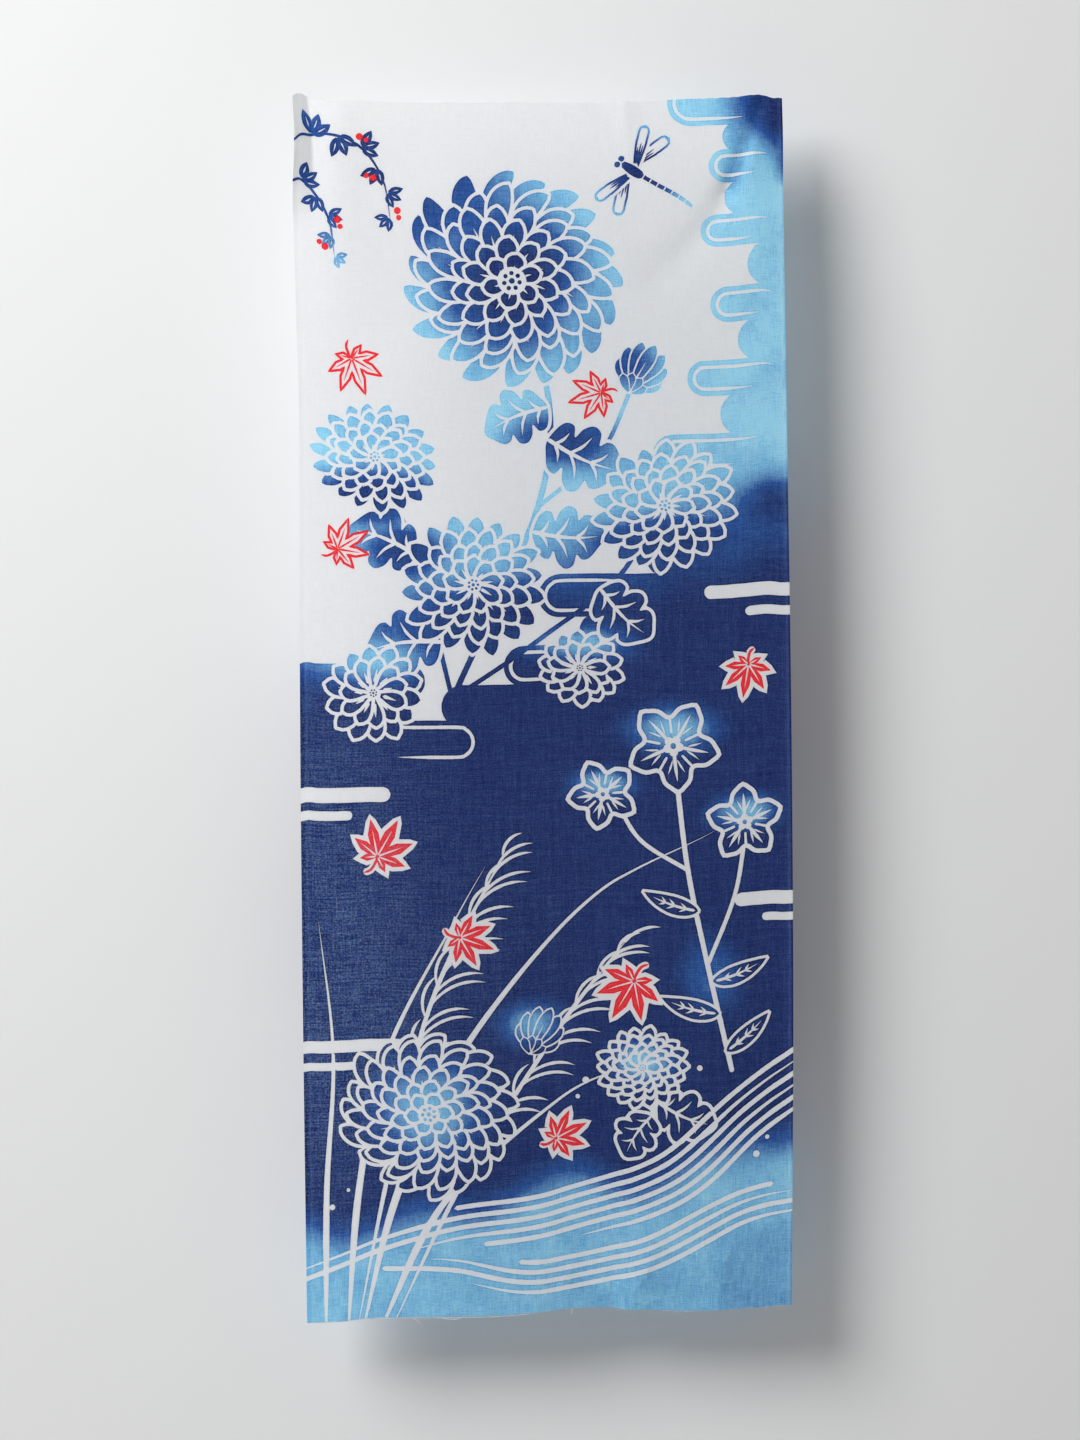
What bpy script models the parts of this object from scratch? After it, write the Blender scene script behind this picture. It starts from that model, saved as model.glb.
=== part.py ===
"""Tenugui towel: one cut length of thin plain-weave cotton, hanging from two points of its top edge.

Metres, +Z up. The origin is the middle of the top edge, the dyed face looks towards -Y and the cloth
hangs down -Z. A place on the cloth is given in millimetres as `across`, from its left selvage, and
`down`, from its top end. `lift` is how far the cloth stands out of its hanging plane, towards -Y.
"""
import math

import bmesh
import bpy

MM = 0.001

# The cut length and the sheet
CLOTH_WIDTH = 361.0
CLOTH_LENGTH = 896.0
SHEET_THICKNESS = 1.2

# The grid that the sheet is bent from. Its lines lie closer together towards the four edges.
COLUMNS = 38
ROWS = 50
COLUMN_CROWDING = 0.30
ROW_CROWDING = 0.50

INDIGO = (0.021, 0.035, 0.120, 1.0)
COTTON_ROUGHNESS = 0.85

# How far the selvages hang from the centre line: share of the way down, left selvage, right selvage
SELVAGES = (
    (0.000, -181.5, 180.8),
    (0.035, -179.8, 181.5),
    (0.085, -181.2, 181.4),
    (0.250, -176.8, 183.6),
    (0.500, -175.7, 187.0),
    (0.750, -173.6, 188.6),
    (1.000, -170.8, 187.8),
)

# Height of the top end: share of the way across, rise. It is held at its two peaks and sags between them.
TOP_END = (
    (0.000, 3.8),
    (0.013, 6.4),
    (0.032, 4.0),
    (0.110, 2.0),
    (0.233, 0.2),
    (0.500, 0.0),
    (0.654, 0.4),
    (0.790, 2.5),
    (0.892, 3.9),
    (0.956, 6.4),
    (0.982, 4.5),
    (1.000, 4.4),
)

# Height of the bottom end: share of the way across, drop. The cloth leans, so its left corner hangs lowest.
BOTTOM_END = (
    (0.000, 902.8),
    (0.078, 901.0),
    (0.140, 898.8),
    (0.290, 897.9),
    (0.400, 897.0),
    (0.480, 894.6),
    (0.545, 892.1),
    (0.631, 891.5),
    (0.672, 892.8),
    (0.837, 893.5),
    (0.907, 891.6),
    (1.000, 889.1),
)

# Soft folds: the line each one follows, from (across, down) to (across, down), how far the line bows
# sideways at its middle, then its half-width and its lift at either end of the line. A negative lift
# is a trough.
FOLDS = (
    # name                  from          to          bow   half-width     lift
    ("left_hollow",       (74, 62),    (70, 150),      4,  (38, 34),   (-3.4, -2.0)),
    ("left_shoulder",     (32, 14),    (34, 150),      0,  (16, 22),   (2.4, 1.0)),
    ("centre_crease",     (245, -4),   (245, 44),      0,  (7, 9),     (1.3, 0.3)),
    ("right_pull",        (344, 8),    (320, 68),      0,  (6, 7),     (-2.4, -3.4)),
    ("right_pull_end",    (320, 68),   (270, 130),     5,  (7, 16),    (-3.4, -1.8)),
    ("right_swell",       (342, 96),   (326, 152),     0,  (14, 18),   (1.6, 0.9)),
    ("upper_left_swell",  (112, 210),  (96, 420),     10,  (58, 66),   (2.2, 2.6)),
    ("middle_trough",     (236, 380),  (206, 640),   -12,  (52, 60),   (-2.4, -2.8)),
    ("lower_left_swell",  (60, 520),   (84, 800),      8,  (60, 52),   (2.8, 3.4)),
    ("lower_right_swell", (292, 560),  (284, 780),     6,  (40, 36),   (2.2, 2.4)),
    ("hem_trough",        (207, 800),  (212, 900),     0,  (34, 24),   (-1.8, -3.4)),
    ("hem_ridge",         (255, 838),  (238, 900),     3,  (10, 8),    (0.3, 1.9)),
    ("hem_ridge_flank",   (274, 846),  (266, 900),     0,  (13, 15),   (-0.4, -0.9)),
    ("hem_notch",         (312, 852),  (306, 900),    -2,  (6, 8),     (0.5, 1.0)),
)

# Margins that turn out of the hanging plane below the held points. The left one turns forward, which is
# a negative angle, and the right one back. Each keeps its angle down to FADE_START of its length.
TURNED_MARGINS = (
    # side      width at top, at end    length   degrees   softness of the bend
    ("left",    (10.6, 17.0),           100.0,   -38.0,    0.5),
    ("right",   (24.0, 24.0),           110.0,   17.0,     1.8),
)
FADE_START = 0.35

# The cloth drops in a slight curve, a little forward half-way down and back again at its loose end
BELLY = 3.0
BOTTOM_KICK = -2.5
KICK_START = 0.72


def along(table, share):
    """Reads a table of (share, value, ...) rows as a smooth curve, and returns the values at a share."""
    share = min(max(share, table[0][0]), table[-1][0])
    after = next(i for i in range(1, len(table)) if share <= table[i][0])
    near, far = table[after - 1], table[after]
    span = far[0] - near[0]
    t = (share - near[0]) / span

    def slope(at, column):
        low, high = table[max(at - 1, 0)], table[min(at + 1, len(table) - 1)]
        return (high[column] - low[column]) / (high[0] - low[0])

    values = []
    for column in range(1, len(near)):
        start, end = near[column], far[column]
        leave = slope(after - 1, column) * span
        arrive = slope(after, column) * span
        values.append(
            start * (1 + 2 * t) * (1 - t) ** 2
            + leave * t * (1 - t) ** 2
            + end * t * t * (3 - 2 * t)
            + arrive * t * t * (t - 1)
        )
    return values


def crowded(share, crowding):
    """Moves a share between 0 and 1 so that equal steps of it lie closer together near 0 and 1."""
    return share - crowding * math.sin(2 * math.pi * share) / (2 * math.pi)


def fold_lift(fold, across, down):
    _, start, end, bow, widths, lifts = fold
    run_x, run_y = end[0] - start[0], end[1] - start[1]
    length = math.hypot(run_x, run_y)
    off_x, off_y = across - start[0], down - start[1]
    along_line = (off_x * run_x + off_y * run_y) / length
    beside = (off_x * run_y - off_y * run_x) / length
    t = min(max(along_line / length, 0.0), 1.0)
    past_end = along_line - t * length
    beside -= bow * 4 * t * (1 - t)
    width = widths[0] + (widths[1] - widths[0]) * t
    lift = lifts[0] + (lifts[1] - lifts[0]) * t
    return lift * math.exp(-(beside**2 + past_end**2) / width**2)


def margin_lift(margin, across, down):
    side, widths, length, angle, softness = margin
    inward = across if side == "left" else CLOTH_WIDTH - across
    share = min(down / length, 1.0)
    past_bend = widths[0] + (widths[1] - widths[0]) * share - inward
    turned = (past_bend + math.hypot(past_bend, softness)) / 2
    fading = max(share - FADE_START, 0.0) / (1 - FADE_START)
    fade = 1 - fading * fading * (3 - 2 * fading)
    return -turned * math.tan(math.radians(angle)) * fade


def drop_lift(down_share):
    belly = BELLY * math.sin(math.pi * down_share)
    kick = max(down_share - KICK_START, 0.0) / (1 - KICK_START)
    return belly + BOTTOM_KICK * kick**2


def cloth_lift(across, down):
    lift = sum(fold_lift(fold, across, down) for fold in FOLDS)
    lift += sum(margin_lift(margin, across, down) for margin in TURNED_MARGINS)
    return lift + drop_lift(down / CLOTH_LENGTH)


def hanging_point(across_share, down_share):
    """Where a place on the flat cloth hangs, as (x, y, z) in metres."""
    left, right = along(SELVAGES, down_share)
    (rise,) = along(TOP_END, across_share)
    (drop,) = along(BOTTOM_END, across_share)
    lift = cloth_lift(across_share * CLOTH_WIDTH, down_share * CLOTH_LENGTH)
    lift -= cloth_lift(CLOTH_WIDTH / 2, 0.0)
    x = left + (right - left) * across_share
    z = rise - (rise + drop) * down_share
    return x * MM, -lift * MM, z * MM


def clear_scene():
    for thing in list(bpy.data.objects):
        bpy.data.objects.remove(thing, do_unlink=True)


def cotton_material():
    cotton = bpy.data.materials.new("dyed_cotton")
    cotton.use_nodes = True
    shader = cotton.node_tree.nodes["Principled BSDF"]
    shader.inputs["Base Color"].default_value = INDIGO
    shader.inputs["Roughness"].default_value = COTTON_ROUGHNESS
    shader.inputs["Metallic"].default_value = 0.0
    return cotton


def make_cloth(collection):
    """A flat grid, one unit square, is bent to the hanging shape and given its thickness."""
    mesh = bpy.data.meshes.new("tenugui_cloth")
    grid = bmesh.new()
    bmesh.ops.create_grid(grid, x_segments=COLUMNS, y_segments=ROWS, size=0.5)
    for vertex in grid.verts:
        across_share = crowded(vertex.co.x + 0.5, COLUMN_CROWDING)
        down_share = crowded(0.5 - vertex.co.y, ROW_CROWDING)
        vertex.co = hanging_point(across_share, down_share)
    grid.to_mesh(mesh)
    grid.free()
    mesh.shade_smooth()
    mesh.materials.append(cotton_material())

    cloth = bpy.data.objects.new("tenugui_cloth", mesh)
    collection.objects.link(cloth)
    thickness = cloth.modifiers.new("thickness", "SOLIDIFY")
    thickness.thickness = SHEET_THICKNESS * MM
    thickness.offset = 0.0
    return cloth


def main():
    clear_scene()
    collection = bpy.data.collections.new("tenugui_towel")
    bpy.context.scene.collection.children.link(collection)
    make_cloth(collection)


main()
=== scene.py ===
import math
import random
from functools import partial

import bmesh
import bpy
import numpy as np
from mathutils import Matrix, Vector
from mathutils.geometry import delaunay_2d_cdt
from mathutils.kdtree import KDTree


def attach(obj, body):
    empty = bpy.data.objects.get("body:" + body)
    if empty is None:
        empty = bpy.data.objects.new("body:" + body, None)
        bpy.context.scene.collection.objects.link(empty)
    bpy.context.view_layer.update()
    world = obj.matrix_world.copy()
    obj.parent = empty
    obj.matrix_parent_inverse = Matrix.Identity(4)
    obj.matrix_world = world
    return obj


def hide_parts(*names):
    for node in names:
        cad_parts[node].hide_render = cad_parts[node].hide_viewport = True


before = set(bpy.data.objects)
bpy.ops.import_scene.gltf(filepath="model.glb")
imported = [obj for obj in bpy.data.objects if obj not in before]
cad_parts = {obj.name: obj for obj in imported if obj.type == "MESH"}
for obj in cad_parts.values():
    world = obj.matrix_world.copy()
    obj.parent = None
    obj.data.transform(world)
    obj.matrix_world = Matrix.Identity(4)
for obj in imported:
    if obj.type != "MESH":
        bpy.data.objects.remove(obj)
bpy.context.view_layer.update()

mm = 0.001

# Places on the flat cloth are in millimetres: across from the left selvage, down from the top end.
cloth = {
    "width": 361.0,
    "length": 896.0,
    "thickness": 0.45,
    "gridStep": 5.2,          # spacing of the plain mesh between the dyed outlines
    "clearance": 1.6,         # a grid point nearer than this to an outline is left out
    "creaseClearance": 0.5,   # the same for the points along a crease
    "bakeScale": 0.00108,     # size of the cloth on its bake map, to a millimetre
    "bakeMargin": 8.0,
    "belly": 3.0,             # the cloth hangs this far forward half-way down
    "bottomKick": -2.5,       # and its loose end this far back, from this share of the way down
    "kickStart": 0.72,
    "endRagged": 0.35,        # unevenness of the cut ends
    "evenBacklight": 0.10,        # painted light of the wall showing through the weave, the same everywhere
}

# Selvages: share of the way down, left and right distance from the centre line
selvages = (
    (0.000, -181.5, 180.8),
    (0.035, -179.8, 181.5),
    (0.085, -181.2, 181.4),
    (0.250, -176.8, 183.6),
    (0.500, -175.7, 187.0),
    (0.750, -173.6, 188.6),
    (1.000, -170.8, 187.8),
)

# Top end: share of the way across, rise. It is held at its two peaks.
topEnd = (
    (0.000, 3.8), (0.013, 6.4), (0.032, 4.0), (0.110, 2.0), (0.233, 0.2), (0.500, 0.0),
    (0.654, 0.4), (0.790, 2.5), (0.892, 3.9), (0.956, 6.4), (0.982, 4.5), (1.000, 4.4),
)

# Bottom end: share of the way across, drop
bottomEnd = (
    (0.000, 902.8), (0.078, 901.0), (0.140, 898.8), (0.290, 897.9), (0.400, 897.0), (0.480, 894.6),
    (0.545, 892.1), (0.631, 891.5), (0.672, 892.8), (0.837, 893.5), (0.907, 891.6), (1.000, 889.1),
)

# Folds and creases: start and end of the line each follows, its bow, half-widths and lifts at its ends
folds = (
    ((74, 62), (70, 150), 4, (38, 34), (-3.4, -2.0)),        # hollow below the left hold
    ((32, 14), (34, 150), 0, (16, 22), (2.4, 1.0)),          # shoulder beside the turned margin
    ((245, -4), (245, 44), 0, (7, 9), (1.3, 0.3)),           # crease in the top end
    ((344, 8), (320, 68), 0, (6, 7), (-2.4, -3.4)),          # pull from the right hold
    ((320, 68), (270, 130), 5, (7, 16), (-3.4, -1.8)),
    ((342, 96), (326, 152), 0, (14, 18), (1.6, 0.9)),        # swell beside the pull
    ((112, 210), (96, 420), 10, (58, 66), (2.2, 2.6)),
    ((236, 380), (206, 640), -12, (52, 60), (-2.4, -2.8)),
    ((60, 520), (84, 800), 8, (60, 52), (2.8, 3.4)),
    ((292, 560), (284, 780), 6, (40, 36), (2.2, 2.4)),
    ((207, 800), (212, 900), 0, (34, 24), (-1.8, -3.4)),     # trough at the loose end
    ((255, 838), (238, 900), 3, (10, 8), (0.3, 1.9)),        # ridge at the loose end
    ((274, 846), (266, 900), 0, (13, 15), (-0.4, -0.9)),
    ((312, 852), (306, 900), -2, (6, 8), (0.5, 1.0)),        # notch at the loose end
)

# Sharper creases, in the same columns
creases = (
    ((244.5, -2), (245, 24), 0, (1.8, 2.6), (0.35, 0.1)),
    ((346, -1), (347, 9), 0, (1.6, 2.0), (-1.0, -0.45)),
    ((228, 868), (227, 897), 0, (3.6, 4.4), (-0.5, -0.9)),
    ((184, 852), (181, 900), 2, (3.0, 4.0), (-0.2, -0.5)),
    ((24, 862), (23, 902), 1, (6.0, 7.0), (0.3, 0.9)),
    ((261, 846), (248, 877), 1, (2.8, 2.8), (0.20, 0.55)),
    ((246, 870), (239, 899), 0, (4.6, 4.2), (0.35, 0.80)),
    ((251, 876), (242, 889), 0, (1.8, 1.6), (-0.30, -0.42)),
    ((150, 846), (196, 868), 3, (5.0, 6.0), (0.25, 0.35)),
    ((96, 862), (150, 884), -2, (6.0, 7.0), (0.30, 0.30)),
    ((276, 838), (330, 872), 2, (6.0, 5.0), (0.25, 0.35)),
    ((250, 892), (268, 887), 1, (1.5, 1.2), (0.50, 0.20)),
    ((315, 852), (308, 864), 1, (1.5, 1.8), (0.35, 0.65)),
    ((309, 867), (308, 897), 0, (2.0, 3.0), (0.4, 0.4)),
    ((338, 868), (361, 864), 0, (1.6, 1.2), (-0.22, -0.12)),
    ((290, 896), (297, 886), 0, (1.6, 1.6), (0.2, 0.1)),
    ((326, 858), (322, 869), 0, (1.4, 1.4), (0.28, 0.14)),
    ((336, 862), (329, 880), 1, (1.6, 1.4), (0.22, 0.26)),
    ((346, 850), (339, 860), 0, (1.4, 1.4), (0.24, 0.12)),
    ((286, 866), (280, 884), 1, (2.0, 2.0), (0.26, 0.16)),
    ((197, 863), (188, 879), 1, (1.6, 1.6), (0.28, 0.30)),
)

# Painted light of the lit wall showing through the weave, more in these places: across, down, reach
# across, reach down, amount
paintedBacklightPatches = (
    (14, 560, 62, 150, 0.80), (30, 690, 60, 90, 0.65), (8, 800, 44, 80, 0.30), (120, 640, 70, 120, 0.20),
)

# Margins that turn away from the held points: side, width at the top and where it dies out, length to
# there, angle, softness of the bend. The left one turns forward and the right one back.
turnedMargins = (
    ("left", (10.6, 17.0), 100.0, -38.0, 0.5),
    ("right", (24.0, 24.0), 110.0, 17.0, 1.8),
)


def along(table, share):
    # reads a table of (share, value, ...) rows as smooth curves, for an array of shares
    rows = np.array(table)
    keys, last = rows[:, 0], len(rows) - 1
    share = np.clip(share, keys[0], keys[-1])
    after = np.clip(np.searchsorted(keys, share, side="left"), 1, last)
    near = after - 1
    span = keys[after] - keys[near]
    t = (share - keys[near]) / span
    low, high = (np.clip(np.arange(last + 1) + way, 0, last) for way in (-1, 1))
    slopes = (rows[high] - rows[low]) / (keys[high] - keys[low])[:, None]
    parts = (
        (rows[near], (1 + 2 * t) * (1 - t) ** 2),
        (slopes[near], span * t * (1 - t) ** 2),
        (rows[after], t * t * (3 - 2 * t)),
        (slopes[after], span * t * t * (t - 1)),
    )
    return sum(values * weight[:, None] for values, weight in parts).T[1:]


def smoothStep(low, high, value):
    t = np.clip((value - low) / (high - low), 0.0, 1.0)
    return t * t * (3 - 2 * t)


def foldLift(fold, across, down):
    start, end, bow, widths, lifts = fold
    runX, runY = end[0] - start[0], end[1] - start[1]
    length = math.hypot(runX, runY)
    offX, offY = across - start[0], down - start[1]
    alongLine = (offX * runX + offY * runY) / length
    t = np.clip(alongLine / length, 0.0, 1.0)
    pastEnd = alongLine - t * length
    beside = (offX * runY - offY * runX) / length - bow * 4 * t * (1 - t)
    width = widths[0] + (widths[1] - widths[0]) * t
    lift = lifts[0] + (lifts[1] - lifts[0]) * t
    return lift * np.exp(-(beside ** 2 + pastEnd ** 2) / width ** 2)


def marginLift(margin, across, down):
    side, widths, length, angle, softness = margin
    inward = across if side == "left" else cloth["width"] - across
    share = np.minimum(down / length, 1.0)
    pastBend = widths[0] + (widths[1] - widths[0]) * share - inward
    turned = (pastBend + np.hypot(pastBend, softness)) / 2
    fadeStart = 0.35
    return -turned * math.tan(math.radians(angle)) * (1 - smoothStep(fadeStart, 1.0, share))


def clothLift(across, down):
    lift = sum(foldLift(fold, across, down) for fold in folds + creases)
    lift = lift + sum(marginLift(margin, across, down) for margin in turnedMargins)
    share = down / cloth["length"]
    kick = np.maximum(share - cloth["kickStart"], 0.0) / (1 - cloth["kickStart"])
    return lift + cloth["belly"] * np.sin(np.pi * share) + cloth["bottomKick"] * kick ** 2


def hang(across, down):
    # where places on the flat cloth hang, in metres
    acrossShare, downShare = across / cloth["width"], down / cloth["length"]
    left, right = along(selvages, downShare)
    rise, = along(topEnd, acrossShare)
    drop, = along(bottomEnd, acrossShare)
    middle = np.array([cloth["width"] / 2])
    lift = clothLift(across, down) - clothLift(middle, np.zeros(1))
    x = left + (right - left) * acrossShare
    z = rise - (rise + drop) * downShare
    return np.stack([x, -lift, z], axis=1) * mm


# The dyed design. Stencilled shapes are laid one over another, and the last one laid decides the dye.
artwork = {
    "seed": 41,
    "outlineStep": 1.9,
    "borderWidth": 2.6,       # white left round a petal or leaf
    "lineWidth": 3.9,         # white or dyed line-work
    "fineLine": 2.7,
    "waterLine": 3.7,
    "wobble": 0.10,           # hand-cut unevenness of an outline
    "beyond": 14.0,           # how far the ground runs past the selvages
}
dyes = {"resist": 0, "blue": 1, "red": 2}
chance = random.Random(artwork["seed"])
stencils = []


def lay(dye, outline):
    stencils.append((dye, outline))


def layBordered(outline, border):
    # a blue shape with undyed cloth left round it
    lay("resist", grown(outline, border))
    lay("blue", outline)


def layLine(dye, path, width, startTaper=0.0, endTaper=0.0):
    lay(dye, ribbon(path, width, brush(startTaper, endTaper, width)))


def outFrom(at, angle, reach):
    return at[0] + math.cos(angle) * reach, at[1] + math.sin(angle) * reach


def turns(count, start=0.0):
    return [start + 2 * math.pi * k / count for k in range(count)]


def smoothPath(points, step=None, closed=False):
    # a flowing line through the points
    def past(end, inner):
        return tuple(2 * e - i for e, i in zip(end, inner))

    if closed:
        knots = [points[-1], *points, *points[:2]]
    else:
        knots = [past(points[0], points[1]), *points, past(points[-1], points[-2])]
    path = []
    for before, start, end, after in zip(knots, knots[1:], knots[2:], knots[3:]):
        pieces = max(1, round(math.dist(start, end) / (step or artwork["outlineStep"])))
        for t in (piece / pieces for piece in range(pieces)):
            path.append(tuple(
                0.5 * (2 * b + (c - a) * t + (2 * a - 5 * b + 4 * c - d) * t * t
                       + (3 * b - a - 3 * c + d) * t ** 3)
                for a, b, c, d in zip(before, start, end, after)
            ))
    return path if closed else path + [tuple(points[-1])]


def shifted(path, offset):
    # the path moved sideways by offset(number of the point)
    moved = []
    for i, (x, y) in enumerate(path):
        ax, ay = path[max(i - 1, 0)]
        bx, by = path[min(i + 1, len(path) - 1)]
        reach = math.hypot(bx - ax, by - ay) or 1.0
        off = offset(i)
        moved.append((x + (ay - by) / reach * off, y + (bx - ax) / reach * off))
    return moved


def ribbon(path, width, profile):
    # the closed outline round a centre line, its width following profile(share, length)
    runs = [0.0]
    for a, b in zip(path, path[1:]):
        runs.append(runs[-1] + math.dist(a, b))
    total = runs[-1] or 1.0
    halves = []
    for run in runs:
        half = width * profile(run / total, total)
        wobble = half / width * chance.uniform(-1, 1) * artwork["wobble"] if half else 0
        halves.append(0.5 * half + wobble)
    return shifted(path, lambda i: halves[i]) + shifted(path, lambda i: -halves[i])[::-1]


def brush(startTaper, endTaper, width):
    # an even stroke, round at an end whose taper is 0
    def side(share, distance, taper):
        if taper:
            return min(1.0, share / taper) ** 0.7
        return math.sqrt(max(0.0, 1 - max(0.0, 1 - 2 * distance / width) ** 2))

    def profile(t, total):
        return min(side(t, t * total, startTaper), side(1 - t, (1 - t) * total, endTaper))
    return profile


def stroke(dye, points, width=None, startTaper=0.0, endTaper=0.0):
    width = width or artwork["lineWidth"]
    path = smoothPath(points)
    if len(path) > 2:  # closer points near both ends, for the round caps
        cap = min(0.5, 0.22 * width / max(math.dist(path[0], path[1]), 0.01))

        def capped(tip, inner):
            return [tuple(a + (b - a) * t for a, b in zip(tip, inner)) for t in (0, cap * 0.4, cap)]
        path = capped(*path[:2]) + path[1:-1] + capped(*path[:-3:-1])[::-1]
    layLine(dye, path, width, startTaper, endTaper)


def vein(path, start, end, width):
    first = int(len(path) * start)
    layLine("resist", path[first:max(int(len(path) * end), first + 3)], width, 0.1, 0.75)


def grown(outline, amount):
    # the outline moved outwards, or inwards for a negative amount
    area = sum(a[0] * b[1] - b[0] * a[1] for a, b in zip(outline, outline[1:] + outline[:1]))
    turn = 1 if area > 0 else -1
    moved = []
    for i, (x, y) in enumerate(outline):
        ax, ay = outline[i - 1]
        bx, by = outline[(i + 1) % len(outline)]
        before, after = math.hypot(x - ax, y - ay) or 1, math.hypot(bx - x, by - y) or 1
        mx = ((y - ay) / before + (by - y) / after) * turn
        my = -((x - ax) / before + (bx - x) / after) * turn
        scale = amount / max((mx * mx + my * my) / 2, 0.55)  # a sharp corner isn't drawn out
        moved.append((x + mx * scale, y + my * scale))
    return moved


def bent(start, angle, length, bend, points=6):
    # the centre line of a petal or blade
    path = [start]
    for i in range(points):
        path.append(outFrom(path[-1], angle + bend * ((i + 0.5) / points - 0.5), length / points))
    return path


def placed(points, at, angle, size):
    c, s = math.cos(angle), math.sin(angle)
    return [(at[0] + (x * c - y * s) * size, at[1] + (x * s + y * c) * size) for x, y in points]


def squashed(points, centre, squash, tilt):
    # a round head seen a little from the side
    c, s = math.cos(tilt), math.sin(tilt)
    around = [(x - centre[0], y - centre[1]) for x, y in points]
    return placed([(x * c + y * s, (y * c - x * s) * squash) for x, y in around], centre, tilt, 1)


def evened(corners, step):
    # straight sides between corners, with points about a step apart
    outline = []
    for a, b in zip(corners, corners[1:] + corners[:1]):
        pieces = max(1, round(math.dist(a, b) / step))
        outline += [(a[0] + (b[0] - a[0]) * k / pieces, a[1] + (b[1] - a[1]) * k / pieces)
                    for k in range(pieces)]
    return outline


def placeOn(path, share):
    # the place at a share of the path, and the path's heading there
    i = min(int(share * (len(path) - 1)), len(path) - 2)
    (ax, ay), (bx, by) = path[i:i + 2]
    return (ax, ay), math.atan2(by - ay, bx - ax)


def petalProfile(t, total):
    broad = 0.66
    if t < broad:
        return 0.30 + 0.70 * math.sin(math.pi / 2 * t / broad) ** 1.2
    return max(0.0, math.cos(math.pi / 2 * (t - broad) / (1 - broad))) ** 0.62


def leafProfile(swell, start, fullness):
    return lambda t, total: math.sin(math.pi * min(1, t ** swell + start)) ** fullness


def spot(dye, centre, radius):
    # a small round mark, a little uneven
    count = max(7, round(2 * math.pi * radius / 1.3))
    lay(dye, [(centre[0] + math.cos(a) * radius * chance.uniform(0.93, 1.07),
               centre[1] + math.sin(a) * radius * chance.uniform(0.93, 1.07))
              for a in turns(count, chance.uniform(0, 1))])


# Chrysanthemum heads, ring by ring from the outside: petals, inner and outer radius, petal width, bend
heads = {
    "wild": ((19, 0.34, 1.00, 0.205, 1.25), (18, 0.30, 0.86, 0.185, 1.00), (16, 0.24, 0.70, 0.175, 0.80),
             (13, 0.17, 0.54, 0.165, 0.60), (10, 0.10, 0.39, 0.150, 0.45), (6, 0.04, 0.24, 0.135, 0.30)),
    "round": ((18, 0.30, 1.00, 0.250, 0.18), (16, 0.24, 0.80, 0.225, 0.14), (13, 0.16, 0.60, 0.205, 0.10),
              (9, 0.08, 0.40, 0.185, 0.10)),
    "small": ((14, 0.24, 1.00, 0.330, 0.10), (11, 0.16, 0.70, 0.280, 0.10)),
    "core": 0.10,
    "veined": 13,             # a petal longer than this has a white vein
}


def chrysanthemum(kind, centre, radius, turn=0.0, squash=1.0, tilt=0.0):
    for row, (count, inner, outer, wide, bend) in enumerate(heads[kind]):
        for i in range(count):
            angle = turn + 2 * math.pi * (i + 0.5 * (row % 2)) / count + chance.uniform(-0.035, 0.035)
            foot = outFrom(centre, angle, radius * inner)
            length = radius * (outer * chance.uniform(0.94, 1.05) - inner)
            curl = bend * chance.uniform(0.6, 1.35)
            middle = smoothPath(bent(foot, angle + curl * 0.25, length, curl))
            petal = ribbon(middle, radius * wide * chance.uniform(0.92, 1.08), petalProfile)
            layBordered(squashed(petal, centre, squash, tilt), artwork["borderWidth"])
            if length > heads["veined"]:
                middle = squashed(middle, centre, squash, tilt)
                vein(middle, 0.1, chance.uniform(0.55, 0.74), artwork["fineLine"])
    core = radius * heads["core"]
    ring = [outFrom(centre, a, core * 1.25) for a in turns(20)]
    lay("resist", squashed(ring, centre, squash, tilt))
    for a in turns(7, turn):
        spot("blue", outFrom(centre, a, core * 0.66), core * 0.19)
    spot("blue", centre, core * 0.24)


# A bud from the side. Petals: turn, length. Then the turns of the small leaves that hold it.
bud = {
    "petals": ((0.95, 0.66), (-0.95, 0.66), (0.62, 0.84), (-0.62, 0.84), (0.30, 0.96), (-0.30, 0.96),
               (0.0, 1.0)),
    "leaves": (0.85, 0.3, -0.3, -0.85),
}


def chrysanthemumBud(at, angle, size):
    for turn, reach in bud["petals"]:
        middle = smoothPath(bent(outFrom(at, angle, size * 0.05), angle + turn, size * reach, -turn * 0.7))
        layBordered(ribbon(middle, size * 0.30, petalProfile), 1.4)
        vein(middle, 0.1, 0.66, 1.5)
    for turn in bud["leaves"]:
        foot = outFrom(at, angle, -size * 0.10)
        middle = smoothPath(bent(foot, angle + turn, size * 0.40, -turn * 0.5, 4))
        layBordered(ribbon(middle, size * 0.18, petalProfile), 1.0)


# One side of a lobed leaf: share along the midrib, distance from it; then its veins: start, end, side
lobes = {
    "side": ((0.00, 0.03), (0.05, 0.17), (0.13, 0.30), (0.24, 0.32), (0.30, 0.20), (0.36, 0.34),
             (0.47, 0.43), (0.58, 0.38), (0.62, 0.23), (0.69, 0.30), (0.79, 0.29), (0.90, 0.17),
             (1.00, 0.00)),
    "veins": ((0.10, 0.22, 0.20), (0.32, 0.50, 0.29), (0.60, 0.76, 0.19)),
    "midrib": ((0.0, 0.0), (0.3, 0.048), (0.6, 0.060), (0.9, 0.024)),
    "lean": 0.06,
}


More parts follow.
